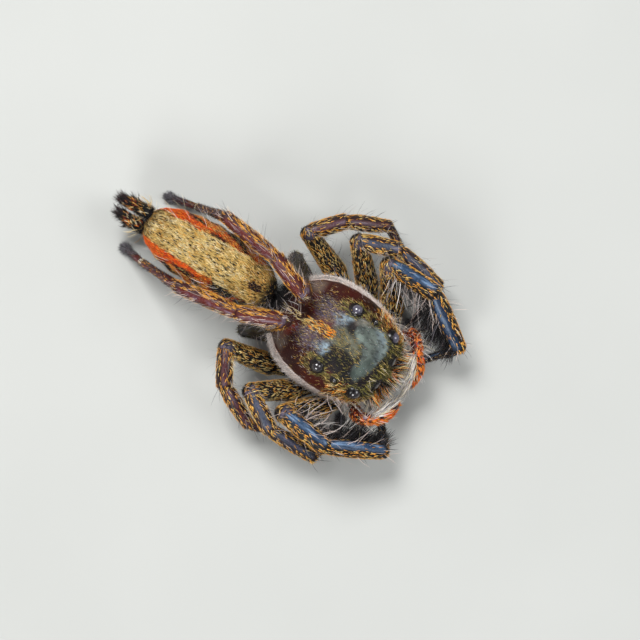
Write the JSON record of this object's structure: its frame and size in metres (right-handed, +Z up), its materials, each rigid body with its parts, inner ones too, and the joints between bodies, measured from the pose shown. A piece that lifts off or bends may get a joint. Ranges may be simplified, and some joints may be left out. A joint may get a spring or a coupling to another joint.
{
  "type": "jumping spider",
  "caption": "Still life-size male jumping spider, hyllus keratodes, resting with legs drawn in: glossy dark head shield, straw-coloured abdomen and steel-blue front legs",
  "frame": {"origin": "middle of the bounding box, on the floor that the feet rest on", "axes": "+X along the body towards the head, +Y towards the animal's left side, +Z up"},
  "size_m": [0.0158, 0.0108, 0.0047],
  "materials": {
    "carapace_shell": "glossy mahogany-brown cuticle, grey-teal sheen over the eye field, white hair along the edge",
    "underside_skin": "dark brown cuticle with short pale hair",
    "abdomen_coat": "flat straw-gold hair with fine black flecks, orange-red and black along the sides",
    "spinneret_brush": "black, bristly, with a few orange scales",
    "jaw_shell": "dark brown glossy cuticle",
    "palp_coat": "bright orange scale hair with a white fringe",
    "eye_lens": "black, wet-looking lens",
    "front_leg_shell": "black with an iridescent steel-blue stripe and sparse golden hair",
    "leg_shell": "red-brown cuticle with a lavender sheen and golden-orange hair"
  },
  "bodies": {
    "root": {"abdomen": "abdomen_coat", "carapace": "carapace_shell", "chelicera_left": "jaw_shell", "chelicera_right": "jaw_shell", "eye_front_middle_left": "eye_lens", "eye_front_middle_right": "eye_lens", "eye_front_side_left": "eye_lens", "eye_front_side_right": "eye_lens", "eye_rear_middle_left": "eye_lens", "eye_rear_middle_right": "eye_lens", "eye_rear_side_left": "eye_lens", "eye_rear_side_right": "eye_lens", "leg_1_left_foot": "front_leg_shell", "leg_1_left_shin": "front_leg_shell", "leg_1_left_thigh": "front_leg_shell", "leg_1_right_foot": "front_leg_shell", "leg_1_right_shin": "front_leg_shell", "leg_1_right_thigh": "front_leg_shell", "leg_2_left_foot": "leg_shell", "leg_2_left_shin": "leg_shell", "leg_2_left_thigh": "leg_shell", "leg_2_right_foot": "leg_shell", "leg_2_right_shin": "leg_shell", "leg_2_right_thigh": "leg_shell", "leg_3_left_foot": "leg_shell", "leg_3_left_shin": "leg_shell", "leg_3_left_thigh": "leg_shell", "leg_3_right_foot": "leg_shell", "leg_3_right_shin": "leg_shell", "leg_3_right_thigh": "leg_shell", "leg_4_left_foot": "leg_shell", "leg_4_left_shin": "leg_shell", "leg_4_left_thigh": "leg_shell", "leg_4_right_foot": "leg_shell", "leg_4_right_shin": "leg_shell", "leg_4_right_thigh": "leg_shell", "mouthparts": "underside_skin", "palp_left_arm": "palp_coat", "palp_left_hand": "palp_coat", "palp_right_arm": "palp_coat", "palp_right_hand": "palp_coat", "pedicel": "underside_skin", "spinneret_lower_left": "spinneret_brush", "spinneret_lower_right": "spinneret_brush", "spinneret_upper_left": "spinneret_brush", "spinneret_upper_right": "spinneret_brush", "sternum": "underside_skin"}
  },
  "joints": []
}
